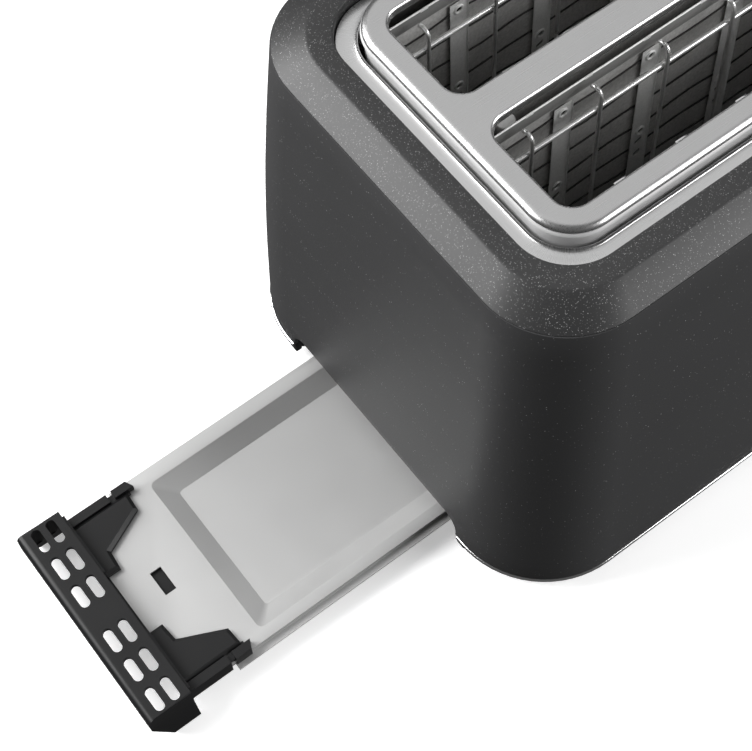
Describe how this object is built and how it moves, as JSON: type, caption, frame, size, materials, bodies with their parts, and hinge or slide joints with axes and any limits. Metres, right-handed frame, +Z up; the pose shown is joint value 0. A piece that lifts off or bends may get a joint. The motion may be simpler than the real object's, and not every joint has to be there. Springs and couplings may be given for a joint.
{
  "type": "pop-up toaster",
  "caption": "Tapered dark two-slot toaster with a steel slotted top, guard cages, sprung bread carriage and a draw-out crumb tray with a vented handle.",
  "frame": {"origin": "middle of the overall box at the bottom of the feet, with the crumb tray drawn out", "axes": "+X along the slots towards the control end, +Y across the slots, +Z up"},
  "size_m": [0.4134, 0.1838, 0.1755],
  "materials": {
    "anthracite_coat": "matt anthracite powder coat",
    "speckled_cover": "satin dark plastic with fine bright flakes",
    "satin_steel": "satin brushed stainless steel",
    "polished_steel": "polished trim",
    "black_plastic": "fine moulded texture",
    "foot_rubber": "matt",
    "tray_aluminium": "fine matt grain",
    "zinc_steel": "zinc-coated sheet",
    "guard_steel": "bright wire",
    "mica": "flaky dark mica sheet",
    "heater_alloy": "dark resistance wire",
    "coil_copper": "enamelled copper winding",
    "circuit_board": "green laminate",
    "terminal_plastic": "ivory moulding"
  },
  "bodies": {
    "housing": {"body_shell": "anthracite_coat", "top_cover": "speckled_cover", "control_panel": "speckled_cover", "steel_rim": "satin_steel", "steel_collar": "satin_steel", "top_plate": "satin_steel", "base_trim": "polished_steel", "base_plate": "black_plastic", "dial_control": "black_plastic", "main_switch": "black_plastic", "cord_bush": "black_plastic", "foot_1": "foot_rubber", "foot_2": "foot_rubber", "foot_3": "foot_rubber", "foot_4": "foot_rubber", "front_end_plate": "zinc_steel", "rear_end_plate": "zinc_steel", "left_heat_shield": "zinc_steel", "right_heat_shield": "zinc_steel", "magnet_core": "zinc_steel", "base_screw_1": "zinc_steel", "base_screw_2": "zinc_steel", "base_screw_3": "zinc_steel", "base_screw_4": "zinc_steel", "left_guide_rod": "guard_steel", "right_guide_rod": "guard_steel", "lift_spring": "guard_steel", "left_inner_mica_board": "mica", "left_outer_mica_board": "mica", "right_inner_mica_board": "mica", "right_outer_mica_board": "mica", "left_inner_heater_wire": "heater_alloy", "left_outer_heater_wire": "heater_alloy", "right_inner_heater_wire": "heater_alloy", "right_outer_heater_wire": "heater_alloy", "magnet_coil": "coil_copper", "circuit_board": "circuit_board", "terminal_block": "terminal_plastic"},
    "tray": {"crumb_tray": "tray_aluminium", "tray_handle": "black_plastic"},
    "carriage": {"carriage_bracket": "zinc_steel", "left_bread_lifter": "zinc_steel", "right_bread_lifter": "zinc_steel", "lever_arm": "zinc_steel", "armature": "zinc_steel", "lever_knob": "black_plastic"},
    "left_inner_cage": {"left_inner_guard_cage": "guard_steel"},
    "left_outer_cage": {"left_outer_guard_cage": "guard_steel"},
    "right_inner_cage": {"right_inner_guard_cage": "guard_steel"},
    "right_outer_cage": {"right_outer_guard_cage": "guard_steel"},
    "dial": {"browning_knob": "black_plastic"},
    "cancel": {"cancel_button": "black_plastic"},
    "reheat": {"reheat_button": "black_plastic"},
    "defrost": {"defrost_button": "black_plastic"}
  },
  "joints": [
    {"name": "tray_slide", "type": "slide", "parent": "housing", "child": "tray", "axis": [1, 0, 0], "range_m": [-0.035, 0.128]},
    {"name": "carriage_slide", "type": "slide", "parent": "housing", "child": "carriage", "axis": [0, 0, -1], "range_m": [-0.01, 0.066], "stiffness_N_per_m": 80, "springref_m": -0.019, "deforming": ["lift_spring"]},
    {"name": "left_inner_cage_tilt", "type": "hinge", "parent": "housing", "child": "left_inner_cage", "pos_m": [0.04185, 0.012, 0.024], "axis": [1, 0, 0], "range_deg": [-5.2, 1]},
    {"name": "left_outer_cage_tilt", "type": "hinge", "parent": "housing", "child": "left_outer_cage", "pos_m": [0.04185, 0.0405, 0.024], "axis": [1, 0, 0], "range_deg": [-1, 5.2]},
    {"name": "right_inner_cage_tilt", "type": "hinge", "parent": "housing", "child": "right_inner_cage", "pos_m": [0.04185, -0.012, 0.024], "axis": [1, 0, 0], "range_deg": [-1, 5.2]},
    {"name": "right_outer_cage_tilt", "type": "hinge", "parent": "housing", "child": "right_outer_cage", "pos_m": [0.04185, -0.0405, 0.024], "axis": [1, 0, 0], "range_deg": [-5.2, 1]},
    {"name": "dial_turn", "type": "hinge", "parent": "housing", "child": "dial", "pos_m": [0.19335, 0.03, 0.062], "axis": [1, 0, 0], "range_deg": [-135, 135]},
    {"name": "cancel_press", "type": "slide", "parent": "housing", "child": "cancel", "axis": [-1, 0, 0], "range_m": [0, 0.002], "stiffness_N_per_m": 400, "springref_m": -0.001},
    {"name": "reheat_press", "type": "slide", "parent": "housing", "child": "reheat", "axis": [-1, 0, 0], "range_m": [0, 0.002], "stiffness_N_per_m": 400, "springref_m": -0.001},
    {"name": "defrost_press", "type": "slide", "parent": "housing", "child": "defrost", "axis": [-1, 0, 0], "range_m": [0, 0.002], "stiffness_N_per_m": 400, "springref_m": -0.001}
  ],
  "couplings": [
    {"joint": "left_inner_cage_tilt", "follows": "carriage_slide", "rad_per_m": -1.3222},
    {"joint": "left_outer_cage_tilt", "follows": "carriage_slide", "rad_per_m": 1.3222},
    {"joint": "right_inner_cage_tilt", "follows": "carriage_slide", "rad_per_m": 1.3222},
    {"joint": "right_outer_cage_tilt", "follows": "carriage_slide", "rad_per_m": -1.3222}
  ]
}
